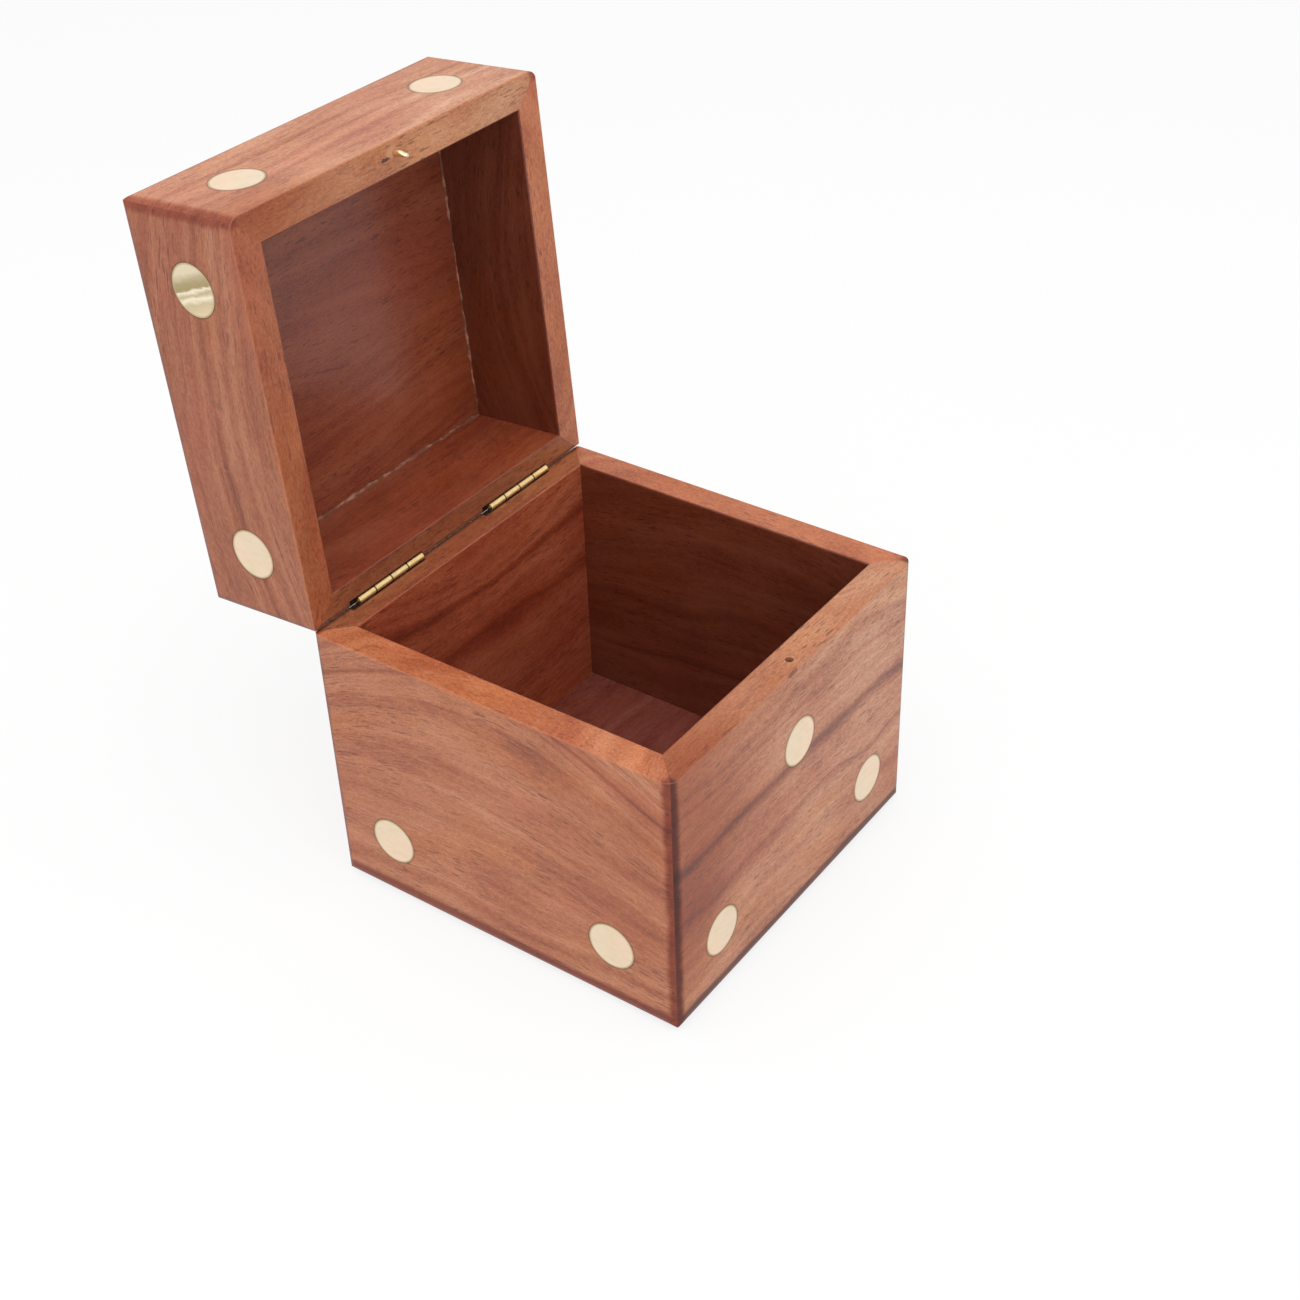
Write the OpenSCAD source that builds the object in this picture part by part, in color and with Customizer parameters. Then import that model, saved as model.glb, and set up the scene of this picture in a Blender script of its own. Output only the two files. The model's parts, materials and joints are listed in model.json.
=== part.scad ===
// Wooden dice box shaped like a die, sawn into a base and a hinged lid.
// Millimetres, +Z up. The origin is the centre of the underside, the front is -Y
// and the hinge side is +Y. The lid is drawn open, resting on its stop bevels.

/* [Box] */
// Width across the left and right faces
box_w = 65; // [56:1:80]
// Depth from the front face to the hinge face
box_d = 65; // [56:1:80]
// Height of the base up to its rim
base_h = 47; // [40:1:60]
// Height of the lid from its rim to its top face
lid_h = 21.6; // [18:0.2:30]
// Thickness of the wall boards
wall_t = 5; // [4:0.5:7]
// Thickness of the bottom and top panels
panel_t = 4.2; // [3.2:0.2:6]
// Radius of the sanded outer edges
edge_r = 2; // [1:0.25:3]
// Radius of the eased edges round the rims
rim_r = 0.25; // [0.1:0.05:0.5]
// Gap between the two rims when the lid is shut
rim_gap = 0.3; // [0.2:0.05:0.6]

/* [Lid swing] */
// Angle that the lid opens to, from shut
lid_opening = 94; // [80:1:110]
// Distance of the hinge axis in from the hinge face
axis_inset = 1.05; // [0.9:0.05:1.5]
// Height of the hinge axis above the base rim
axis_rise = 0.4; // [0.2:0.05:0.6]
// Gap left between the two stop bevels when the lid is open
stop_gap = 0.08; // [0.06:0.02:0.3]

/* [Hinges] */
// Length of each hinge barrel
hinge_len = 14.8; // [11:0.2:18]
// Distance from a side face to the near end of a barrel
hinge_margin = 9.4; // [8:0.2:12]
// Number of knuckles along a barrel
knuckle_count = 4; // [3:1:6]
// Gap between neighbouring knuckles
knuckle_gap = 0.14; // [0.08:0.02:0.3]
// Setback of the neck that joins a knuckle to its leaf, at each end
neck_inset = 0.1; // [0.05:0.05:0.3]
// Radius of the barrel
barrel_r = 0.65; // [0.55:0.05:0.8]
// Radius of the hinge pin
pin_r = 0.3; // [0.2:0.05:0.4]
// Running clearance round the hinge pin
pin_fit = 0.03; // [0.02:0.01:0.08]
// Thickness of a hinge leaf
leaf_t = 0.4; // [0.3:0.05:0.5]
// Reach of a leaf into the wall, from the hinge axis
leaf_reach = 5.6; // [5:0.2:7]
// Lean of a leaf from upright, into the wall
leaf_lean = 20; // [12:1:26]
// Clearance of the slot round the barrel
slot_fit = 0.15; // [0.1:0.05:0.25]
// Length that the slot and the kerf run on past the left end of the barrel
slot_over = 1.6; // [0.2:0.1:2.4]
// Clearance of the saw kerf round the leaf
kerf_fit = 0.06; // [0.04:0.02:0.12]

/* [Hinge nails] */
// Number of nails through each leaf
nail_count = 2; // [2:1:3]
// Radius of a nail shank
nail_r = 0.35; // [0.25:0.05:0.45]
// Radius of a nail head
nail_head_r = 0.8; // [0.6:0.05:1]
// Thickness of a nail head
nail_head_t = 0.35; // [0.25:0.05:0.5]
// Length of a nail with its head
nail_len = 3.4; // [3:0.1:3.8]
// Distance of the nails from the rim they are next to
nail_drop = 3.2; // [2.6:0.1:3.8]
// Clearance round a nail
nail_fit = 0.03; // [0.02:0.01:0.06]

/* [Catch] */
// Radius of the catch pin in the lid
catch_r = 0.5; // [0.4:0.05:0.7]
// Length of the catch pin that stands out of the lid rim
catch_proud = 2.4; // [1.2:0.1:2.8]
// Length of the catch pin inside the wood
catch_set = 4; // [3:0.5:6]
// Distance of the catch pin in from the front face
catch_inset = 2; // [1.6:0.1:2.4]
// Clearance round the catch pin where it is set in the lid
catch_fit = 0.03; // [0.02:0.01:0.06]
// Clearance round the catch pin in the hole of the base
catch_play = 0.15; // [0.12:0.01:0.3]

/* [Pips] */
// Radius of a pip, cut from round brass rod
pip_r = 4; // [3:0.25:4.5]
// Thickness of a pip
pip_t = 2; // [1.5:0.1:2.4]
// Distance of the corner pips in from the edges of the box
pip_margin = 11.6; // [9:0.2:13]
// Distance of the middle pips below the base rim
mid_pip_drop = 14; // [8:0.5:16]
// Glue line round and under a pip
pip_fit = 0.05; // [0.03:0.01:0.1]

/* [Hidden] */

// Sides of the box, counted anticlockwise from above
FRONT = 0;
RIGHT = 1;
BACK = 2;
LEFT = 3;

// Directions of the two halves of a hinge, down into the base and up into the lid
INTO_BASE = -1;
INTO_LID = 1;

lid_rim_z = base_h + rim_gap;
total_h = lid_rim_z + lid_h;
axis_y = box_d / 2 - axis_inset;
axis_z = base_h + axis_rise;
bevel = lid_opening / 2;
slot_r = barrel_r + slot_fit;
hinge_x = box_w / 2 - hinge_margin - hinge_len / 2;
knuckle_pitch = hinge_len / knuckle_count;
inner_w = box_w - 2 * wall_t;
inner_d = box_d - 2 * wall_t;
catch_y = -box_d / 2 + catch_inset;
catch_hole_depth = catch_proud + 1;
low_z = pip_margin;
mid_z = base_h - mid_pip_drop;
high_z = total_h - pip_margin;

// Overshoot of cutters past the faces they cut
over = 1;
// Size of a cutter that takes away all on one side of a plane
half_space = 3 * (box_w + box_d);

$fn = 64;
small_fn = 32;

// Length of a side along the wall, and distance of its face from the centre
function side_len(side) = side % 2 == 0 ? box_w : box_d;
function side_off(side) = (side % 2 == 0 ? box_d : box_w) / 2;

// Pips of a side as [across, height], seen from outside with the lid shut.
// Opposite sides add up to seven.
function side_pips(side) =
    let (p = side_len(side) / 2 - pip_margin)
    side == FRONT ? [[-p, low_z], [p, low_z], [0, mid_z], [-p, high_z], [p, high_z]] :
    side == LEFT ? [[-p, low_z], [p, low_z], [-p, high_z], [p, high_z]] :
    side == RIGHT ? [[-p, low_z], [0, mid_z], [p, high_z]] :
    [[-p, low_z], [p, high_z]];

// Pips of the top face, two rows of three
top_pip_places = [
    for (x = [-1, 1], y = [-1, 0, 1])
        [x * (box_w / 2 - pip_margin), y * (box_d / 2 - pip_margin)]
];

// Turns a piece drawn at the front so that it stands on another side
module on_side(side) {
    rotate([0, 0, 90 * side]) children();
}

// Swings a piece drawn on the shut lid to where it lies on the open lid
module opened() {
    translate([0, axis_y, axis_z])
        rotate([-lid_opening, 0, 0])
            translate([0, -axis_y, -axis_z])
                children();
}

// Turns a piece drawn upside down on the ground into one on the shut lid
module as_lid() {
    translate([0, 0, total_h]) mirror([0, 0, 1]) children();
}

// Waste outside the arc of a rounded corner, for cutting it from a flat outline
module corner_waste(corner, inward, radius, fn) {
    difference() {
        translate(corner + inward * (radius - over) / 2) square(radius + over, center = true);
        translate(corner + inward * radius) circle(radius, $fn = fn);
    }
}

// Upright section of a front wall: sanded lower edge, eased edges at the rim
module wall_section(side, height) {
    face_y = -side_off(side);
    difference() {
        translate([face_y, 0]) square([wall_t, height]);
        corner_waste([face_y, 0], [1, 1], edge_r, $fn);
        corner_waste([face_y, height], [1, -1], rim_r, small_fn);
        corner_waste([face_y + wall_t, height], [-1, -1], rim_r, small_fn);
    }
}

// Plan of a front wall: mitred ends, sanded outer corners
module wall_plan(side) {
    reach = side_len(side) / 2;
    face_y = -side_off(side);
    difference() {
        polygon([
            [-reach, face_y], [reach, face_y],
            [reach - wall_t - over, face_y + wall_t + over],
            [-reach + wall_t + over, face_y + wall_t + over]
        ]);
        corner_waste([-reach, face_y], [1, 1], edge_r, $fn);
        corner_waste([reach, face_y], [-1, 1], edge_r, $fn);
    }
}

// Mitred wall board with its edges sanded, rim upwards
module wall_blank(side, height) {
    on_side(side)
        intersection() {
            rotate([90, 0, 90])
                linear_extrude(side_len(side) + 2 * over, center = true)
                    wall_section(side, height);
            translate([0, 0, -over]) linear_extrude(height + 2 * over) wall_plan(side);
        }
}

// Pips of one side that lie in the base or in the lid, grown by a glue line
module side_pip_discs(side, in_lid, grow) {
    for (p = side_pips(side))
        if ((p[1] > base_h) == in_lid)
            on_side(side)
                translate([p[0], -side_off(side) - (grow > 0 ? over : 0), p[1]])
                    rotate([-90, 0, 0])
                        cylinder(r = pip_r + grow, h = pip_t + (grow > 0 ? over + grow : 0));
}

// Space behind the stop bevel of the base, sloping down to the hinge face
module base_bevel_cut() {
    translate([0, axis_y, axis_z])
        rotate([-bevel, 0, 0])
            translate([-half_space / 2, -half_space / 2, -stop_gap / 2])
                cube(half_space);
}

// Space behind the stop bevel of the shut lid, sloping up to the hinge face
module lid_bevel_cut() {
    translate([0, axis_y, axis_z])
        rotate([bevel, 0, 0])
            translate([-half_space / 2, -half_space / 2, stop_gap / 2 - half_space])
                cube(half_space);
}

// Rod along the hinge axis from one x to another
module axis_rod(from_x, to_x, radius) {
    translate([from_x, axis_y, axis_z])
        rotate([0, 90, 0])
            cylinder(r = radius, h = to_x - from_x, $fn = small_fn);
}

// Flat strip that leans away from the hinge axis, into the base or the lid
module leaf_strip(from_x, to_x, near, far, thickness, into) {
    translate([0, axis_y, axis_z])
        rotate([into * leaf_lean, 0, 0])
            translate([from_x, -thickness / 2, into > 0 ? near : -far])
                cube([to_x - from_x, thickness, far - near]);
}

// Middle of a nail shank, for each nail of each hinge
module at_nails(into) {
    rim_z = into == INTO_BASE ? base_h : lid_rim_z;
    for (s = [-1, 1], k = [1 : nail_count])
        translate([
            s * hinge_x - hinge_len / 2 + hinge_len * (k - 0.5) / nail_count,
            box_d / 2,
            rim_z + into * nail_drop
        ])
            rotate([90, 0, 0])
                children();
}

// Nails with their heads flush with the hinge face
module nails(into) {
    at_nails(into) {
        cylinder(r = nail_head_r, h = nail_head_t, $fn = small_fn);
        cylinder(r = nail_r, h = nail_len, $fn = small_fn);
    }
}

// Holes that the nails are driven into
module nail_holes(into) {
    at_nails(into) {
        translate([0, 0, -over])
            cylinder(r = nail_head_r + nail_fit, h = over + nail_head_t + nail_fit, $fn = small_fn);
        cylinder(r = nail_r + nail_fit, h = nail_len + nail_fit, $fn = small_fn);
    }
}

// Slots for the barrels, saw kerfs for the leaves and holes for the nails
module hinge_seats(into) {
    for (s = [-1, 1]) {
        from_x = s * hinge_x - hinge_len / 2;
        to_x = from_x + hinge_len;
        axis_rod(from_x - slot_over, to_x + slot_fit, slot_r);
        leaf_strip(
            from_x - slot_over + kerf_fit, to_x + kerf_fit, 0, leaf_reach + kerf_fit,
            leaf_t + 2 * kerf_fit, into
        );
    }
    nail_holes(into);
}

// Brass leaf with its share of the knuckles, drilled for the pin and the nails
module hinge_leaf(s, into) {
    left_x = s * hinge_x - hinge_len / 2;
    first = into == INTO_BASE ? 0 : 1;
    color("goldenrod")
        difference() {
            union() {
                leaf_strip(left_x, left_x + hinge_len, slot_r, leaf_reach, leaf_t, into);
                for (k = [first : 2 : knuckle_count - 1]) {
                    from_x = left_x + k * knuckle_pitch + knuckle_gap / 2;
                    to_x = left_x + (k + 1) * knuckle_pitch - knuckle_gap / 2;
                    axis_rod(from_x, to_x, barrel_r);
                    leaf_strip(
                        from_x + neck_inset, to_x - neck_inset, 0, slot_r + leaf_t,
                        leaf_t, into
                    );
                }
            }
            axis_rod(left_x - over, left_x + hinge_len + over, pin_r + pin_fit);
            nail_holes(into);
        }
}

// Wire pin that runs through all the knuckles of a hinge
module hinge_pin(s) {
    color("darkgoldenrod")
        axis_rod(s * hinge_x - hinge_len / 2, s * hinge_x + hinge_len / 2, pin_r);
}

// Wall of the base with its mitres, pip pockets and stop bevel
module base_wall(side) {
    color("sienna")
        difference() {
            wall_blank(side, base_h);
            side_pip_discs(side, false, pip_fit);
            if (side != FRONT) base_bevel_cut();
            if (side == BACK) hinge_seats(INTO_BASE);
            if (side == FRONT)
                translate([0, catch_y, base_h - catch_hole_depth])
                    cylinder(r = catch_r + catch_play, h = catch_hole_depth + over, $fn = small_fn);
        }
}

// Wall of the lid, drawn shut and swung open
module lid_wall(side) {
    color("sienna")
        opened()
            difference() {
                as_lid() wall_blank(side, lid_h);
                side_pip_discs(side, true, pip_fit);
                if (side != FRONT) lid_bevel_cut();
                if (side == BACK) hinge_seats(INTO_LID);
                if (side == FRONT)
                    translate([0, catch_y, lid_rim_z - over])
                        cylinder(
                            r = catch_r + catch_fit, h = over + catch_set + catch_fit,
                            $fn = small_fn
                        );
            }
}

// Pips of one side of the base
module base_pips(side) {
    color("palegoldenrod") side_pip_discs(side, false, 0);
}

// Pips of one side of the lid
module lid_pips(side) {
    color("palegoldenrod") opened() side_pip_discs(side, true, 0);
}

// Panel that closes the box, glued in between the walls
module panel_blank() {
    translate([-inner_w / 2, -inner_d / 2, 0]) cube([inner_w, inner_d, panel_t]);
}

// Pocket for a pip in the outer face of a panel
module panel_pocket() {
    translate([0, 0, -over]) cylinder(r = pip_r + pip_fit, h = over + pip_t + pip_fit);
}

module base_bottom_panel() {
    color("peru")
        difference() {
            panel_blank();
            panel_pocket();
        }
}

module lid_top_panel() {
    color("peru")
        opened()
            as_lid()
                difference() {
                    panel_blank();
                    for (p = top_pip_places) translate(p) panel_pocket();
                }
}

module bottom_pip() {
    color("palegoldenrod") cylinder(r = pip_r, h = pip_t);
}

module top_pips() {
    color("palegoldenrod")
        opened()
            as_lid()
                for (p = top_pip_places) translate(p) cylinder(r = pip_r, h = pip_t);
}

// Brass pin in the lid rim, with a round tip that drops into the base
module catch_pin() {
    color("gold")
        opened()
            translate([0, catch_y, lid_rim_z]) {
                translate([0, 0, catch_r - catch_proud])
                    cylinder(r = catch_r, h = catch_proud - catch_r + catch_set, $fn = small_fn);
                translate([0, 0, catch_r - catch_proud]) sphere(catch_r, $fn = small_fn);
            }
}

base_wall(FRONT);  // base_front_wall
base_wall(RIGHT);  // base_right_wall
base_wall(BACK);  // base_back_wall
base_wall(LEFT);  // base_left_wall
base_bottom_panel();
lid_wall(FRONT);  // lid_front_wall
lid_wall(RIGHT);  // lid_right_wall
lid_wall(BACK);  // lid_back_wall
lid_wall(LEFT);  // lid_left_wall
lid_top_panel();
hinge_leaf(-1, INTO_BASE);  // left_hinge_base_leaf
opened() hinge_leaf(-1, INTO_LID);  // left_hinge_lid_leaf
hinge_pin(-1);  // left_hinge_pin
hinge_leaf(1, INTO_BASE);  // right_hinge_base_leaf
opened() hinge_leaf(1, INTO_LID);  // right_hinge_lid_leaf
hinge_pin(1);  // right_hinge_pin
color("gold") nails(INTO_BASE);  // base_hinge_nails
color("gold") opened() nails(INTO_LID);  // lid_hinge_nails
catch_pin();
base_pips(FRONT);  // base_front_pips
base_pips(RIGHT);  // base_right_pips
base_pips(BACK);  // base_back_pip
base_pips(LEFT);  // base_left_pips
bottom_pip();
lid_pips(FRONT);  // lid_front_pips
lid_pips(RIGHT);  // lid_right_pip
lid_pips(BACK);  // lid_back_pip
lid_pips(LEFT);  // lid_left_pips
top_pips();
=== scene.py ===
import json
import math

import bpy
from mathutils import Matrix, Vector


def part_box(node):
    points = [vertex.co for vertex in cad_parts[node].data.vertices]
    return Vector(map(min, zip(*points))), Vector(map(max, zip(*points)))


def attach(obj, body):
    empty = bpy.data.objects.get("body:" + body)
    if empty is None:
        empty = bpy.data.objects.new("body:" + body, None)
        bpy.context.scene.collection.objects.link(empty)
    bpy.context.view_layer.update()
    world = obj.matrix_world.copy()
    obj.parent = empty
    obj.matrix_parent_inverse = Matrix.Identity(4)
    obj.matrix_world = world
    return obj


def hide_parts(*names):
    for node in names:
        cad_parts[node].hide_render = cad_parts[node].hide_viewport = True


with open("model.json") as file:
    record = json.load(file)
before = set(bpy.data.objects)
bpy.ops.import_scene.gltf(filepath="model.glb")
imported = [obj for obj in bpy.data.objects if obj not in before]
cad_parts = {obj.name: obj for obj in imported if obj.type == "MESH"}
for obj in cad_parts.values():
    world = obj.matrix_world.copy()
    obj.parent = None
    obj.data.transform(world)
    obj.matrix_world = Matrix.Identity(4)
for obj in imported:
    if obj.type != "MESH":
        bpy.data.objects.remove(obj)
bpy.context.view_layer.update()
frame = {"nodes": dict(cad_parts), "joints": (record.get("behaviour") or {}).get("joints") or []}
nodes = frame["nodes"]
MM = 0.001

# The view of the box
# A long lens looks down on the left front corner of the box, as it stands open on a white table.
# The place and turn of the camera come from the straight edges of the box.
CAMERA_AT = Vector((-199.66, -153.42, 218.64)) * MM
CAMERA_AZIMUTH = -53.52
CAMERA_ELEVATION = 35.889
CAMERA_ROLL = -2.088
LENS = 56.09

camera_data = bpy.data.cameras.new("camera")
camera_data.sensor_width = 36.0
camera_data.lens = LENS
camera_data.clip_start = 0.01
camera = bpy.data.objects.new("camera", camera_data)
bpy.context.scene.collection.objects.link(camera)
camera.matrix_world = (
    Matrix.Translation(CAMERA_AT)
    @ Matrix.Rotation(math.radians(CAMERA_AZIMUTH), 4, "Z")
    @ Matrix.Rotation(math.radians(90 - CAMERA_ELEVATION), 4, "X")
    @ Matrix.Rotation(math.radians(CAMERA_ROLL), 4, "Z")
)
bpy.context.scene.camera = camera
bpy.context.scene.view_settings.view_transform = "Standard"

# The wood of the boards
# Sheesham, sanded and lacquered to a satin. The grain runs level round the box, and the lid was
# sawn off the base, so its grain, turned with it, carries on over the cut.


class Socket:
    """A value or colour inside a finish. Arithmetic on it adds the Math nodes."""

    def __init__(self, finish, link):
        self.finish = finish
        self.link = link

    def math(self, operation, *others):
        values = dict(enumerate((self,) + others))
        return self.finish.node("Math", {"operation": operation}, values)

    def __add__(self, other):
        return self.math("ADD", other)

    def __sub__(self, other):
        return self.math("SUBTRACT", other)

    def __rsub__(self, other):
        return self.finish.node("Math", {"operation": "SUBTRACT"}, {0: other, 1: self})

    def __mul__(self, other):
        return self.math("MULTIPLY", other)

    def __truediv__(self, other):
        return self.math("DIVIDE", other)

    def __abs__(self):
        return self.math("ABSOLUTE")

    __radd__ = __add__
    __rmul__ = __mul__

    def least(self, other):
        return self.math("MINIMUM", other)

    def most(self, other):
        return self.math("MAXIMUM", other)

    def ramp(self, low, high):
        """0 at low, 1 at high, smooth between and level beyond."""
        limits = {0: self, 1: min(low, high), 2: max(low, high)}
        rise = self.finish.node("MapRange", {"interpolation_type": "SMOOTHSTEP"}, limits)
        return rise if low < high else 1.0 - rise


class Finish:
    """A material and the nodes that make it."""

    def __init__(self, name):
        self.material = bpy.data.materials.new(name)
        self.material.use_nodes = True
        self.tree = self.material.node_tree
        self.shader = self.tree.nodes["Principled BSDF"]

    def node(self, kind, settings=None, values=None, out=0):
        """Adds a node, sets its settings, then its sockets, and returns one of its outputs."""
        made = self.tree.nodes.new("ShaderNode" + kind)
        for key, value in (settings or {}).items():
            if key == "stops":
                elements = made.color_ramp.elements
                while len(elements) < len(value):
                    elements.new(0.5)
                for element, (place, colour) in zip(elements, value):
                    element.position = place
                    element.color = (*colour, 1.0)
            else:
                setattr(made, key, value)
        for key, value in (values or {}).items():
            self.join(value, made.inputs[key])
        return Socket(self, made.outputs[out])

    def join(self, value, socket):
        if isinstance(value, Socket):
            self.tree.links.new(value.link, socket)
        elif socket.type == "RGBA":
            socket.default_value = (*value, 1.0)
        else:
            socket.default_value = value

    def surface(self, **values):
        """Sets the shader's own sockets. An underscore stands for a space in their names."""
        for key, value in values.items():
            self.join(value, self.shader.inputs[key.replace("_", " ")])

    def blend(self, amount, colour, other, way="MIX"):
        """Goes from one colour to the other as the amount goes from 0 to 1."""
        values = {0: amount, 6: colour, 7: other}
        return self.node("Mix", {"data_type": "RGBA", "blend_type": way}, values, out=2)

    def noise(self, place, scale, detail=2.0, roughness=0.5):
        """Cloudy value from 0 to 1, at a place stretched by a scale for each axis, per millimetre."""
        stretched = self.node("VectorMath", {"operation": "MULTIPLY"}, {0: place, 1: scale})
        values = {"Vector": stretched, "Scale": 1.0, "Detail": detail, "Roughness": roughness}
        return self.node("TexNoise", None, values)


joint = frame["joints"][0]
HINGE_AT = Vector(joint["pos_m"])
LID_OPENING = math.radians(joint["range_deg"][1])
HALF_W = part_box("base_right_wall")[1][0] / MM
RIM_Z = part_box("base_front_wall")[1][2] / MM
INNER_HALF, _, PANEL_T = (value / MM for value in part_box("base_bottom_panel")[1])
RIM_GAP = 0.3
LID_RIM_Z = RIM_Z + RIM_GAP
CUT_Z = RIM_Z + RIM_GAP / 2
LID_H = 21.6
HALF_H = (LID_RIM_Z + LID_H) / 2
EDGE_R = 2.0
# How far the painted edge shade reaches in along the base's bottom and the lid's top.
BASE_EDGE_SHADE_REACH = 1.5
LID_EDGE_SHADE_REACH = 0.2
PIP_R = 4.0
PIP_SPAN = 9.0
GRAIN_TILT = 0.03
PORE_DEPTH = 0.05 * MM

# A slot round each hinge's barrel runs on past its left end.
hinge_low, hinge_high = (corner[0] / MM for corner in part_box("right_hinge_pin"))
SLOT_R = 0.8
SLOT_OVER = 1.6
SLOT_HALF = (hinge_high - hinge_low + SLOT_OVER) / 2
SLOT_X = [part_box(f"{hand}_hinge_pin")[0][0] / MM - SLOT_OVER + SLOT_HALF for hand in ("left", "right")]

DARK_BROWN = (0.17, 0.042, 0.020)
RED_BROWN = (0.345, 0.098, 0.042)
MID_BROWN = (0.445, 0.155, 0.070)
PALE_BROWN = (0.60, 0.27, 0.145)
PORE_BROWN = (0.11, 0.028, 0.014)
# Brown of the glue round the pips, also used as painted shade along the hinge line.
GLUE_AND_SHADE_BROWN = (0.10, 0.035, 0.018)
# Painted shade in the hinge slots.
SLOT_SHADE_BLACK = (0.030, 0.010, 0.006)
ORANGE_TINT = (1.10, 0.96, 0.66)
RED_TINT = (0.96, 0.74, 0.70)
# Painted shade on the rounded outer edges, darkest on the base's front board and softest on the lid.
EDGE_SHADE_TINT = (0.50, 0.25, 0.19)
DARK_EDGE_SHADE_TINT = (0.27, 0.13, 0.11)
LID_EDGE_SHADE_TINT = (0.62, 0.38, 0.33)
RIM_TINT = (1.10, 0.98, 0.86)
# Inside the box: partly darker wood, partly painted shade.
INSIDE_WOOD_AND_SHADE_TINT = (0.62, 0.42, 0.40)
PLAIN = (1.0, 1.0, 1.0)


def shut_place(finish, in_lid):
    """Place on the shut box in millimetres. The lid's is turned back round the hinge."""
    place = finish.node("TexCoord", out=3)
    turn = Matrix.Rotation(LID_OPENING if in_lid else 0.0, 3, "X")
    shift = (HINGE_AT - turn @ HINGE_AT) / MM
    values = {0: place, 1: shift, 2: turn.to_euler(), 3: (1 / MM, 1 / MM, 1 / MM)}
    return finish.node("Mapping", None, values)


def parts_of(finish, place):
    split = finish.node("SeparateXYZ", None, {0: place})
    return [Socket(finish, output) for output in split.link.node.outputs]


def nearest(finish, place, points):
    """Distance to the nearest of some points."""
    spans = [
        finish.node("VectorMath", {"operation": "DISTANCE"}, {0: place, 1: point}, out=1)
        for point in points
    ]
    least = spans[0]
    for span in spans[1:]:
        least = least.least(span)
    return least


def disc_centres(name):
    """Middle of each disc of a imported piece, in metres."""
    clusters = []
    for vertex in nodes[name].data.vertices:
        for cluster in clusters:
            if (cluster[0] - vertex.co).length < PIP_SPAN * MM:
                cluster.append(vertex.co.copy())
                break
        else:
            clusters.append([vertex.co.copy()])
    middles = []
    for cluster in clusters:
        low = Vector(min(co[axis] for co in cluster) for axis in range(3))
        high = Vector(max(co[axis] for co in cluster) for axis in range(3))
        middles.append((low + high) / 2)
    return middles


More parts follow.
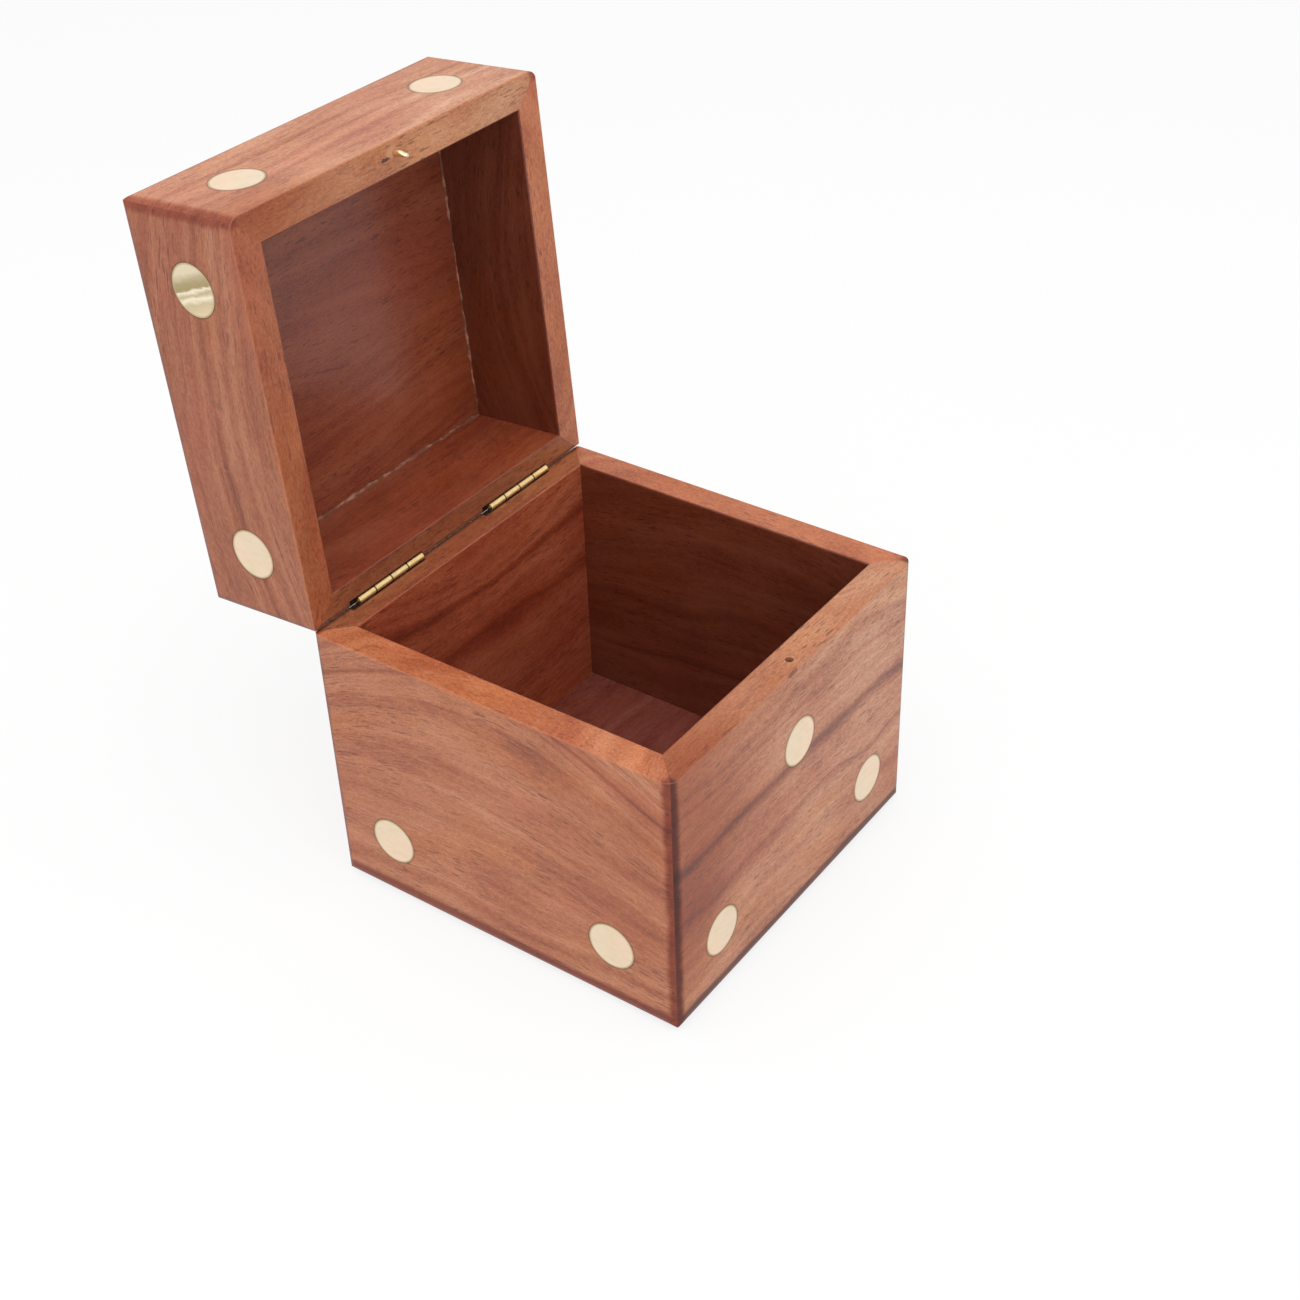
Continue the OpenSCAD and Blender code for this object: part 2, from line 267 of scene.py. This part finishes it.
class Board(Finish):
    """Wood of one board, with the measures over it that its figure and its marks are placed by."""

    def __init__(self, name, side, in_lid, seed, bow, bow_at):
        super().__init__(name)
        self.seed = seed
        self.in_lid = in_lid
        self.place = shut_place(self, in_lid)
        self.x, self.y, self.z = parts_of(self, self.place)
        if side == "panel":
            along, height, depth = self.x, self.y, self.z
        elif side in ("front", "back"):
            along, height, depth = self.x, self.z, self.y
        else:
            along, height, depth = self.y, self.z, self.x
        spread = (along - bow_at) / HALF_W
        self.level = height + spread * spread * height * (bow / RIM_Z) + along * GRAIN_TILT
        values = {0: along + seed * 7.3, 1: depth + seed * 3.1, 2: self.level + seed}
        self.grown = self.node("CombineXYZ", None, values)
        self.wander = self.noise(self.grown, (0.018, 0.04, 0.05)) - 0.5
        self.ripple = self.noise(self.grown, (0.07, 0.2, 0.25), 3.0) - 0.5
        self.rings = self.level + self.wander * 16.0 + self.ripple * 2.2 + depth * 0.5
        self.fibre = self.noise(self.grown, (0.80, 2.4, 3.2), 4.0, 0.70)
        self.speck = self.noise(self.grown, (2.0, 4.0, 4.6), 3.0, 0.6)
        pore = self.noise(self.grown, (0.40, 2.6, 3.4), 2.0, 0.45).ramp(0.575, 0.67)
        self.pore = pore * (0.40 + self.noise(self.grown, (0.05, 0.1, 0.1)).ramp(0.40, 0.60) * 0.60)
        self.rim = self.near_cut(0.6, 0.3)
        inside = abs(self.x).most(abs(self.y)).ramp(INNER_HALF + 0.3, INNER_HALF + 0.1)
        panel_at = HALF_H - PANEL_T
        self.inside = inside.least(abs(self.z - HALF_H).ramp(panel_at + 0.4, panel_at + 0.2))

    def near_cut(self, far, close):
        """1 within a close distance of the cut between base and lid, 0 past a far one."""
        return abs(self.z - CUT_Z).ramp(far, close)

    def tinted(self, amount, colour, tint, shade=1.0):
        return self.blend(amount, colour, [value * shade for value in tint], "MULTIPLY")

    def plain_wood(self, streaks):
        """Growth bands, fine dark lines, fibres, flecks, clouds and open pores."""
        one_way = {"noise_dimensions": "1D"}
        band = self.node("TexNoise", one_way, {"W": self.rings * 0.09 + self.seed, "Detail": 1.5})
        line_noise = self.node("TexNoise", one_way, {"W": self.rings * 0.16 + self.seed * 3})
        line = abs(line_noise - 0.5).ramp(0.035, 0.0)
        line = line * self.noise(self.grown, (0.05, 0.1, 0.12)).ramp(0.48, 0.62)
        mottle = self.noise(self.grown, (0.055, 0.11, 0.12), 3.0, 0.55)
        tone = 0.56 + (band - 0.5) * 0.30 + (self.fibre - 0.5) * 0.44
        tone = tone + (self.speck - 0.5) * 0.46 + (mottle - 0.5) * 0.46 - line * 0.09
        for at, half, strength in streaks:
            wavy = self.level + self.wander * 5.0 + self.ripple * 1.2 - at
            tone = tone - abs(wavy).ramp(half, 0.0) * strength * (1.0 - self.rim * 0.8)
        stops = [(0.22, DARK_BROWN), (0.44, RED_BROWN), (0.57, MID_BROWN), (0.84, PALE_BROWN)]
        colour = self.node("ValToRGB", {"stops": stops}, {0: tone})
        warmth = self.noise(self.grown, (0.03, 0.06, 0.08), 3.0)
        colour = self.tinted(warmth.ramp(0.46, 0.66) * 0.55, colour, RED_TINT)
        colour = self.tinted(warmth.ramp(0.50, 0.34) * 0.5, colour, ORANGE_TINT)
        return self.blend(self.pore * 0.62, colour, PORE_BROWN)

    def outer_edge_shade(self):
        """Painted shade on the rounded outer edges. It wanders a little."""
        shade_reach = LID_EDGE_SHADE_REACH if self.in_lid else BASE_EDGE_SHADE_REACH
        off_x = abs(self.x) - (HALF_W - EDGE_R)
        off_y = abs(self.y) - (HALF_W - EDGE_R)
        off_z = abs(self.z - HALF_H) - (HALF_H - EDGE_R - shade_reach)
        edge = off_x.least(off_y).most(off_x.least(off_z)).most(off_y.least(off_z))
        return (edge + self.ripple * 1.1).ramp(0.0, 1.0)

    def chip(self, point, size):
        """A ragged spot, wider or flatter as its size says."""
        offset = self.node("VectorMath", {"operation": "SUBTRACT"}, {0: self.place, 1: point})
        squashed = self.node("VectorMath", {"operation": "DIVIDE"}, {0: offset, 1: size})
        length = self.node("VectorMath", {"operation": "LENGTH"}, {0: squashed}, out=1)
        return (length + (self.speck - 0.5) * 1.6).ramp(1.0, 0.6)

    def hinge_line_shade(self, colour):
        """Painted shade along the hinge line, and darker painted shade in the slots. Returns the colour
        and where the slot shade lies, which is also made rougher.
        """
        across = self.node("CombineXYZ", None, {0: 0.0, 1: self.y, 2: self.z})
        from_axis = nearest(self, across, [(0.0, HINGE_AT.y / MM, HINGE_AT.z / MM)])
        along = self.node("CombineXYZ", None, {0: self.x, 1: 0.0, 2: 0.0})
        from_slot = nearest(self, along, [(at, 0.0, 0.0) for at in SLOT_X])
        # Painted shade in the gap along the hinge line.
        colour = self.blend(from_axis.ramp(0.62, 0.45) * 0.5, colour, GLUE_AND_SHADE_BROWN)
        at_slot = from_slot.ramp(SLOT_HALF + 0.15, SLOT_HALF + 0.05)
        slot_shade = at_slot * from_axis.ramp(SLOT_R + 0.2, SLOT_R + 0.05)
        return self.blend(slot_shade, colour, SLOT_SHADE_BLACK), slot_shade

    def pip_glue(self, pips):
        """A thin line of glue round each pip on the outside."""
        own_place = self.node("TexCoord", out=3)
        line = (nearest(self, own_place, pips) / MM).ramp(PIP_R + 0.5, PIP_R + 0.1)
        return line * 0.55 * (1.0 - self.inside)

    def lacquer(self, colour, slot_shade):
        relief = self.fibre * 0.3 + self.speck * 0.15 - self.pore * 0.7
        bump = self.node("Bump", None, {"Strength": 0.30, "Distance": PORE_DEPTH, "Height": relief})
        self.surface(
            Base_Color=colour,
            Roughness=0.42 + self.fibre * 0.14 - self.inside * 0.08 + slot_shade * 0.45,
            Coat_Weight=0.10 + self.inside * 0.16 - slot_shade * 0.26,
            Coat_Roughness=0.2,
            IOR=1.42,
            Normal=bump,
        )


def pips_in(side, in_lid):
    """Middles of the pips let into one board."""
    if side == "panel":
        return disc_centres("top_pips" if in_lid else "bottom_pip")
    start_of_name = f"{'lid' if in_lid else 'base'}_{side}_pip"
    return [centre for name in nodes if name.startswith(start_of_name) for centre in disc_centres(name)]


def sheesham(name, side, in_lid, seed, bow=0.0, bow_at=0.0, streaks=(), patches=(), chips=(),
             inside_shading=1.0, rim_shade=1.0, tint=PLAIN, edge_shade_tint=EDGE_SHADE_TINT, inside_wood_and_shade_tint=INSIDE_WOOD_AND_SHADE_TINT):
    """
    Finish of one board. The growth bands lie level, and bow up towards its middle near the rim.
    A streak is (height, half width, strength). A patch or a chip is (place, size, tint).
    """
    board = Board(name, side, in_lid, seed, bow, bow_at)
    colour = board.plain_wood(streaks)
    for point, size, patch_tint in patches:
        soft = nearest(board, board.place, [point]) + board.wander * size * 0.9
        colour = board.tinted(soft.ramp(size, size * 0.2), colour, patch_tint)
    colour = board.tinted(1.0 - board.inside, colour, tint)
    # Painted shade on the rounded outer edges.
    colour = board.tinted(board.outer_edge_shade(), colour, edge_shade_tint)
    colour = board.tinted(board.rim, colour, RIM_TINT, rim_shade)
    # A pale line a little off the cut, on the eased rim edges: partly rubbed, partly a painted
    # highlight.
    rim_wear_and_highlight = board.near_cut(0.55, 0.40) - board.near_cut(0.30, 0.16)
    colour = board.blend(rim_wear_and_highlight * 0.22, colour, PALE_BROWN)
    # Inside, the wood is darker and painted shade darkens it further; each board's own scale for this
    # paints its inside faces lighter or darker as light falls on them.
    colour = board.tinted(board.inside, colour, inside_wood_and_shade_tint, inside_shading)
    for point, size, chip_tint in chips:
        colour = board.blend(board.chip(point, size), colour, chip_tint)
    slot_shade = 0.0
    if side == "back":
        colour, slot_shade = board.hinge_line_shade(colour)
    colour = board.blend(board.pip_glue(pips_in(side, in_lid)), colour, GLUE_AND_SHADE_BROWN)
    board.lacquer(colour, slot_shade)
    return board.material


def dress(name, material):
    """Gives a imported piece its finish."""
    data = nodes[name].data
    data.materials.clear()
    data.materials.append(material)


# The eight wall boards
# Four mitred boards of 5 mm stand round each half, with their outer edges sanded round. One board
# was sawn through for each side, so base and lid share its bands, though the left one's bow less
# in the lid.
ORANGE_PATCH = (0.70, 0.44, 0.27)
# A pale tint. As the patch on the right of the front boards it is a painted sheen; over the whole base
# front board it is a paler tone.
PALE_AND_SHEEN_TINT = (1.10, 1.26, 1.42)
CHIP = (0.09, 0.025, 0.012)
SCUFF = (0.22, 0.075, 0.045)
SPLINTER = (0.56, 0.27, 0.15)
CATCH_Y = -30.5
# Each board's scale for its inside paints light and shade on its inside faces.
BOARDS = {
    "front": {
        "seed": 11.0, "bow": 1.0, "inside_shading": 0.8, "edge_shade_tint": DARK_EDGE_SHADE_TINT,
        "streaks": [(29.5, 2.6, 0.26), (19.0, 2.0, 0.08), (62.0, 1.2, 0.12)],
        # The pale patch on the right is painted sheen.
        "patches": [((-29, -HALF_W, 38), 24.0, ORANGE_PATCH), ((-31, -HALF_W, 18), 16.0, ORANGE_PATCH),
                    ((24, -HALF_W, 34), 34.0, PALE_AND_SHEEN_TINT)],
    },
    "right": {"seed": 23.0, "bow": 6.0, "inside_shading": 0.66},
    "back": {"seed": 37.0, "bow": -3.0, "inside_shading": 1.75, "rim_shade": 0.66,
             "streaks": [(38.0, 2.0, 0.16), (28.0, 3.0, 0.2)]},
    "left": {"seed": 53.0, "bow": 12.0, "bow_at": 3.0, "inside_shading": 0.7,
             "streaks": [(48.2, 0.8, 0.20), (43.5, 0.6, 0.08)]},
}
BASE_ONLY = {
    "front": {"tint": PALE_AND_SHEEN_TINT, "rim_shade": 0.80,
              "chips": [((0, CATCH_Y, RIM_Z), (1.0, 0.95, 0.4), SPLINTER),
                        ((-2.2, -HALF_W, RIM_Z - 0.3), (1.5, 0.5, 0.5), SCUFF)]},
}
LID_ONLY = {
    "front": {"tint": (1.20, 1.42, 1.56), "rim_shade": 0.76,
              "chips": [((-2.2, CATCH_Y + 0.4, LID_RIM_Z), (1.3, 0.36, 0.4), CHIP),
                        ((-0.6, CATCH_Y - 0.3, LID_RIM_Z), (1.5, 0.9, 0.4), SPLINTER)]},
    "left": {"tint": (0.86, 0.80, 0.80), "rim_shade": 0.92, "bow": 4.0, "streaks": [(58.5, 0.9, 0.14)]},
    "right": {"inside_shading": 0.60},
    "back": {"inside_shading": 1.12, "rim_shade": 0.66},
}
for side, board in BOARDS.items():
    base_board = {**board, **BASE_ONLY.get(side, {})}
    lid_board = {**board, "edge_shade_tint": LID_EDGE_SHADE_TINT, **LID_ONLY.get(side, {})}
    dress(f"base_{side}_wall", sheesham(f"base_{side}_board", side, False, **base_board))
    dress(f"lid_{side}_wall", sheesham(f"lid_{side}_board", side, True, **lid_board))

# The bottom and top panels
# Two flat panels are glued in between the walls, with their grain from side to side. Inside they
# are darker than the walls outside, partly their own wood and partly painted shade, and the
# lacquer on the floor is glossier.
FLOOR_WOOD_AND_SHADE_TINT = (0.44, 0.32, 0.48)
bottom_board = sheesham("bottom_board", "panel", False, seed=71.0, bow=3.0, inside_wood_and_shade_tint=FLOOR_WOOD_AND_SHADE_TINT)
top_board = sheesham("top_board", "panel", True, seed=83.0, bow=5.0, inside_shading=1.05)
dress("base_bottom_panel", bottom_board)
dress("lid_top_panel", top_board)

# The brass pips
# Discs cut from 8 mm rod are glued into blind holes and sanded flush with the wood, which leaves
# a soft swirl on their faces. They have a pale champagne colour.
PALE_BRASS = (0.86, 0.71, 0.53)
PINK_BRASS = (0.90, 0.70, 0.52)
YELLOW_BRASS = (0.74, 0.60, 0.38)
RIM_BRASS = (0.50, 0.38, 0.20)
REFLECTED_DARK_BRASS = (0.42, 0.33, 0.16)
REFLECTED_BRIGHT_BRASS = (0.97, 0.85, 0.66)
# Painted reflection for one pip: bright and dark bands up its face.
REFLECTED_BANDS = [
    # how far up the pip, colour
    (0.00, (0.80, 0.66, 0.44)),
    (0.24, (0.66, 0.54, 0.33)),
    (0.34, REFLECTED_BRIGHT_BRASS),
    (0.41, (0.58, 0.47, 0.27)),
    (0.49, REFLECTED_BRIGHT_BRASS),
    (0.535, REFLECTED_DARK_BRASS),
    (0.64, (0.46, 0.37, 0.20)),
    (0.82, (0.80, 0.68, 0.48)),
]
REFLECTION_RISE_Y = 0.366
REFLECTION_RISE_Z = 0.93


def box_place(finish):
    """Place on the box as it stands open, in millimetres."""
    scale = (1 / MM, 1 / MM, 1 / MM)
    return finish.node("Mapping", None, {0: finish.node("TexCoord", out=3), 3: scale})


def pip_brass(name, centres, reflecting_pip=None):
    """Sanded brass. One pip, given by its middle, gets a painted reflection: bright and dark bands in
    its colour, and a smoother face.
    """
    finish = Finish(name)
    place = box_place(finish)
    off = nearest(finish, finish.node("TexCoord", out=3), centres) / MM
    drift = finish.noise(place, (0.09, 0.09, 0.09), 2.0)
    swirl = finish.noise(place, (0.5, 0.5, 1.3), 3.0)
    fine = finish.noise(place, (7.0, 7.0, 9.0), 2.0)
    colour = finish.blend(drift.ramp(0.40, 0.60), PALE_BRASS, PINK_BRASS)
    colour = finish.blend((swirl - 0.42) * 1.1, colour, YELLOW_BRASS)
    rough = 0.34 + swirl * 0.16
    if reflecting_pip:
        _, y, z = parts_of(finish, place)
        rise = (y - reflecting_pip.y / MM) * REFLECTION_RISE_Y + (z - reflecting_pip.z / MM) * REFLECTION_RISE_Z
        rise = rise + (swirl - 0.5) * 1.2
        bands = finish.node("ValToRGB", {"stops": REFLECTED_BANDS}, {0: (rise + PIP_R) / (2 * PIP_R)})
        from_middle = nearest(finish, finish.node("TexCoord", out=3), [reflecting_pip])
        reflection_mask = from_middle.ramp(2 * PIP_R * MM, 1.5 * PIP_R * MM)
        colour = finish.blend(reflection_mask, colour, bands)
        rough = rough - reflection_mask * 0.20
    colour = finish.blend(off.ramp(PIP_R - 0.22, PIP_R - 0.02) * 0.8, colour, RIM_BRASS)
    bump = finish.node("Bump", None, {"Strength": 0.12, "Distance": 0.02 * MM, "Height": fine})
    finish.surface(Base_Color=colour, Metallic=1.0, Roughness=rough, Normal=bump)
    return finish.material


for name in nodes:
    if name.endswith(("pip", "pips")):
        centres = disc_centres(name)
        # The highest pip on the lid's left side gets the painted reflection.
        upper = max(centres, key=lambda centre: centre.z) if name == "lid_left_pips" else None
        dress(name, pip_brass(name + "_brass", centres, upper))

# The hinges
# Each hinge is two rolled brass leaves on a wire pin. Only the barrel shows, bright and golden,
# in its slot between the rims.
HINGE_GOLD = (0.90, 0.67, 0.32)
PIN_GOLD = (0.62, 0.42, 0.18)
TARNISH_BROWN = (0.52, 0.33, 0.12)
JOINT_SHADE = (0.16, 0.08, 0.03)
HINGE_X = (hinge_low + hinge_high) / 2
KNUCKLE_PITCH = (hinge_high - hinge_low) / 4


def gold_brass(name, colour, tarnish=0.4, joints=False):
    """Golden brass with a thin tarnish, and painted shade in the joints between the knuckles of a
    barrel.
    """
    finish = Finish(name)
    place = box_place(finish)
    cloud = finish.noise(place, (0.9, 2.0, 2.0), 3.0)
    colour = finish.blend(cloud.ramp(0.35, 0.7) * tarnish, colour, TARNISH_BROWN)
    if joints:
        from_middle = abs(abs(parts_of(finish, place)[0]) - HINGE_X)
        from_joint = from_middle.least(abs(from_middle - KNUCKLE_PITCH))
        # Painted shade in the joints between the knuckles.
        colour = finish.blend(from_joint.ramp(0.24, 0.06) * 0.7, colour, JOINT_SHADE)
    finish.surface(Base_Color=colour, Metallic=1.0, Roughness=0.22 + cloud * 0.22)
    return finish.material


hinge_finish = gold_brass("hinge_brass", HINGE_GOLD, joints=True)
pin_finish = gold_brass("pin_brass", PIN_GOLD)
for name in nodes:
    if name.endswith("leaf"):
        dress(name, hinge_finish)
    elif name.endswith("hinge_pin"):
        dress(name, pin_finish)

# The hinge nails
# Small brass nails hold each leaf from the hinge face, with their heads filed flush.
NAIL_GOLD = (0.80, 0.60, 0.32)
nail_finish = gold_brass("nail_brass", NAIL_GOLD, 0.7)
for name in ("base_hinge_nails", "lid_hinge_nails"):
    dress(name, nail_finish)

# The catch pin
# A brass pin in the lid's front rim drops into a hole in the base. It has been knocked a little
# out of line, and its end is pinched flat.
PIN_R = 0.5
PIN_TOP = LID_RIM_Z + 4.0
PIN_LOW = LID_RIM_Z - 0.5
PIN_BEVEL = 0.08
CATCH_GOLD = (0.92, 0.74, 0.47)
PIN_SECTIONS = [
    # height from the rim, width, thickness, shift towards the hinge
    (-0.9, 1.0, 1.0, 0.0),
    (-1.3, 1.04, 0.86, 0.05),
    (-1.8, 1.02, 0.62, 0.11),
    (-2.15, 0.86, 0.52, 0.13),
    (-2.34, 0.50, 0.34, 0.14),
]


def start(name, add, **values):
    """Adds a primitive with nothing else selected, and leaves it in edit mode."""
    bpy.ops.object.select_all(action="DESELECT")
    add(**values)
    piece = bpy.context.object
    piece.name = name
    bpy.ops.object.transform_apply(location=True, rotation=True, scale=True)
    bpy.ops.object.mode_set(mode="EDIT")
    return piece


def swing_open(piece):
    """Turns a piece modelled on the shut lid to where it lies at rest."""
    turn = Matrix.Rotation(-LID_OPENING, 4, "X")
    piece.data.transform(Matrix.Translation(HINGE_AT) @ turn @ Matrix.Translation(-HINGE_AT))


def end_faces(mesh, height):
    """Selects the faces at a height and nothing else."""
    bpy.ops.mesh.select_all(action="DESELECT")
    bpy.ops.object.mode_set(mode="OBJECT")
    for polygon in mesh.polygons:
        polygon.select = all(abs(mesh.vertices[v].co.z - height) < 1e-6 for v in polygon.vertices)
    bpy.ops.object.mode_set(mode="EDIT")


catch = start(
    "bent_catch_pin", bpy.ops.mesh.primitive_cylinder_add, vertices=20, radius=PIN_R * MM,
    depth=(PIN_TOP - PIN_LOW) * MM, location=(0, CATCH_Y * MM, (PIN_TOP + PIN_LOW) / 2 * MM),
)
bpy.ops.mesh.select_mode(type="FACE")
below = PIN_LOW
wide, thick, shift = 1.0, 1.0, 0.0
for drop, next_wide, next_thick, next_shift in PIN_SECTIONS:
    end_faces(catch.data, below * MM)
    move = (0, (next_shift - shift) * MM, (LID_RIM_Z + drop - below) * MM)
    bpy.ops.mesh.extrude_region_move(TRANSFORM_OT_translate={"value": move})
    bpy.ops.transform.resize(value=(next_wide / wide, next_thick / thick, 1.0))
    below = LID_RIM_Z + drop
    wide, thick, shift = next_wide, next_thick, next_shift
bpy.ops.object.mode_set(mode="OBJECT")
bpy.ops.object.modifier_add(type="BEVEL")
catch.modifiers[-1].width = PIN_BEVEL * MM
catch.modifiers[-1].segments = 2
catch.modifiers[-1].angle_limit = math.radians(50)
bpy.ops.object.modifier_apply(modifier=catch.modifiers[-1].name)
bpy.ops.object.shade_smooth_by_angle(angle=math.radians(40))
swing_open(catch)
catch.data.materials.append(gold_brass("catch_brass", CATCH_GOLD, 0.2))
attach(catch, "lid")
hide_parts("catch_pin")

# The glue beads in the lid
# Glue squeezed out along two joints of the top panel and dried pale, uneven along its length.
BEAD_LENGTH = 2 * INNER_HALF
BEAD_PITCH = 0.7
LUMP_SIZE = 1.6
LUMP_HEIGHT = 0.9
LUMP_MIDDLE = 0.62
PANEL_INNER_Z = 2 * HALF_H - PANEL_T
THIN_GLUE = (0.20, 0.065, 0.035)
THICK_GLUE = (0.44, 0.21, 0.135)
BEADS = [
    # name, whether it runs from side to side, its middle, its radius
    ("glue_bead_back", True, (0.0, INNER_HALF, PANEL_INNER_Z), 0.46),
    ("glue_bead_right", False, (INNER_HALF, 0.0, PANEL_INNER_Z), 0.30),
]


def glue_finish():
    finish = Finish("dried_glue")
    place = box_place(finish)
    cloud = finish.noise(place, (0.5, 0.5, 0.5), 3.0)
    colour = finish.blend(cloud.ramp(0.42, 0.66), THIN_GLUE, THICK_GLUE)
    finish.surface(Base_Color=colour, Roughness=0.66 + cloud * 0.2)
    return finish.material


lumps = bpy.data.textures.new("glue_lumps", "CLOUDS")
lumps.noise_scale = LUMP_SIZE * MM
lumps.noise_depth = 2
dried_glue = glue_finish()
for name, along_x, at, radius in BEADS:
    turn = (0, math.radians(90), 0) if along_x else (math.radians(90), 0, 0)
    bead = start(
        name, bpy.ops.mesh.primitive_cylinder_add, vertices=12, radius=radius * MM,
        depth=BEAD_LENGTH * MM, location=[value * MM for value in at], rotation=turn,
    )
    bpy.ops.mesh.select_all(action="DESELECT")
    bpy.ops.object.mode_set(mode="OBJECT")
    axis = 0 if along_x else 1
    for edge in bead.data.edges:
        ends = [bead.data.vertices[v].co[axis] for v in edge.vertices]
        edge.select = abs(ends[0] - ends[1]) > BEAD_LENGTH * MM / 2
    bpy.ops.object.mode_set(mode="EDIT")
    bpy.ops.mesh.subdivide(number_cuts=round(BEAD_LENGTH / BEAD_PITCH), quadcorner="INNERVERT")
    bpy.ops.object.mode_set(mode="OBJECT")
    bpy.ops.object.modifier_add(type="DISPLACE")
    bead.modifiers[-1].texture = lumps
    bead.modifiers[-1].strength = LUMP_HEIGHT * MM
    bead.modifiers[-1].mid_level = LUMP_MIDDLE
    bpy.ops.object.modifier_apply(modifier=bead.modifiers[-1].name)
    bpy.ops.object.shade_smooth()
    swing_open(bead)
    bead.data.materials.append(dried_glue)
    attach(bead, "lid")

# The table and the light
# A white table without an edge, and soft light from all round with a little more from above.
TABLE_SIZE = 6.0
TABLE_Z = -0.1 * MM
TABLE_WHITE = (0.97, 0.97, 0.97)
TABLE_GLOW = 0.81
WHITE = (1.0, 1.0, 1.0)
WORLD_LIGHT = 0.60
LIGHT_AIM = (0.0, 0.0, 0.04)


class Sky(Finish):
    """The nodes of the world around the box."""

    def __init__(self, world):
        world.use_nodes = True
        self.tree = world.node_tree
        self.tree.nodes.remove(self.tree.nodes["Background"])


def seen_rays(finish):
    """1 for what the camera sees, straight or by way of metal or glass."""
    outputs = finish.node("LightPath").link.node.outputs
    names = ("Is Camera Ray", "Is Glossy Ray", "Is Transmission Ray")
    camera_ray, glossy_ray, through_ray = (Socket(finish, outputs[name]) for name in names)
    return camera_ray.most(glossy_ray).most(through_ray)


def white_table():
    finish = Finish("white_table")
    finish.tree.nodes.remove(finish.shader)
    matt = finish.node("BsdfDiffuse", None, {0: TABLE_WHITE})
    glow = finish.node("Emission", None, {0: WHITE, 1: 1.0})
    both = finish.node("MixShader", None, {0: seen_rays(finish) * TABLE_GLOW, 1: matt, 2: glow})
    finish.join(both, finish.tree.nodes["Material Output"].inputs["Surface"])
    return finish.material


bpy.ops.object.select_all(action="DESELECT")
bpy.ops.mesh.primitive_plane_add(size=TABLE_SIZE, location=(0.0, 0.0, TABLE_Z))
table = bpy.context.object
table.name = "table"
table.data.materials.append(white_table())

world = bpy.data.worlds.new("studio")
bpy.context.scene.world = world
sky = Sky(world)
soft_light = sky.node("Background", None, {0: WHITE, 1: WORLD_LIGHT})
white_wall = sky.node("Background", None, {0: WHITE, 1: 1.0})
both = sky.node("MixShader", None, {0: seen_rays(sky), 1: soft_light, 2: white_wall})
sky.join(both, sky.tree.nodes["World Output"].inputs["Surface"])


def soft_box(name, place, size, power):
    """A square lamp that faces the box."""
    data = bpy.data.lights.new(name, "AREA")
    data.size = size
    data.energy = power
    lamp = bpy.data.objects.new(name, data)
    bpy.context.scene.collection.objects.link(lamp)
    lamp.location = place
    lamp.rotation_euler = (Vector(place) - Vector(LIGHT_AIM)).to_track_quat("Z", "Y").to_euler()


soft_box("overhead", (-0.15, -0.1, 0.75), size=0.7, power=3.5)
soft_box("front_left", (-0.6, -0.55, 0.35), size=0.5, power=0.7)
